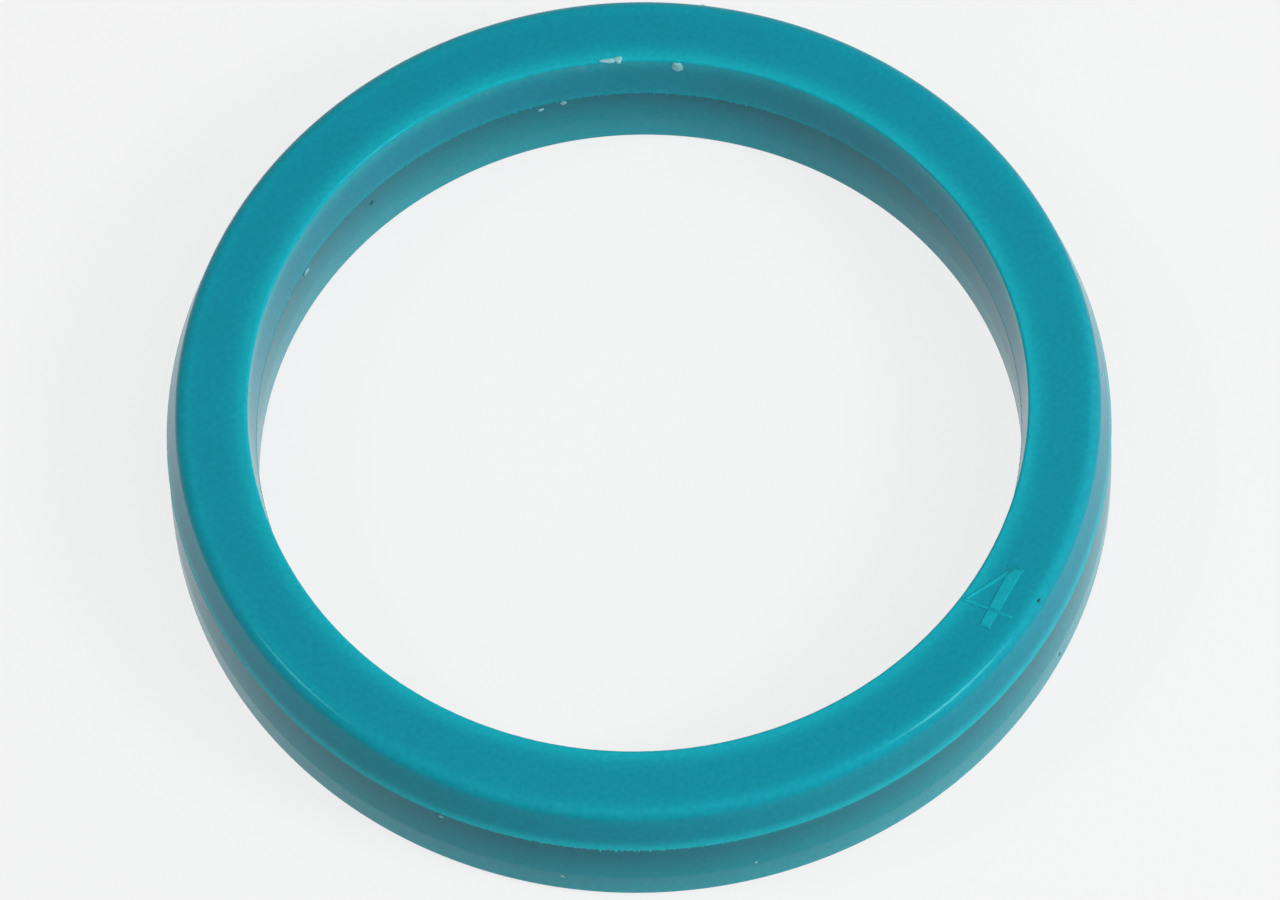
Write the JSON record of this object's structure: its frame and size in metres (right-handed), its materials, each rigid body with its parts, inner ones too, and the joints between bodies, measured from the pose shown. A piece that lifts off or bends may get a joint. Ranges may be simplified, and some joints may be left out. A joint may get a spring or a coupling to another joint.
{
  "type": "u-cup seal",
  "caption": "Moulded elastomer U-cup seal ring with a flat, rounded heel, a parting edge on each wall and a round-rooted groove between its sealing lips.",
  "frame": {"origin": "on the ring's axis, in the plane of the lip tips that it rests on", "axes": "+Z along the ring's axis, from the lip tips to the heel face"},
  "size_m": [0.061, 0.061, 0.01],
  "materials": {
    "elastomer": "satin moulded polyurethane, teal"
  },
  "bodies": {
    "root": {"u_cup": "elastomer"}
  },
  "joints": []
}
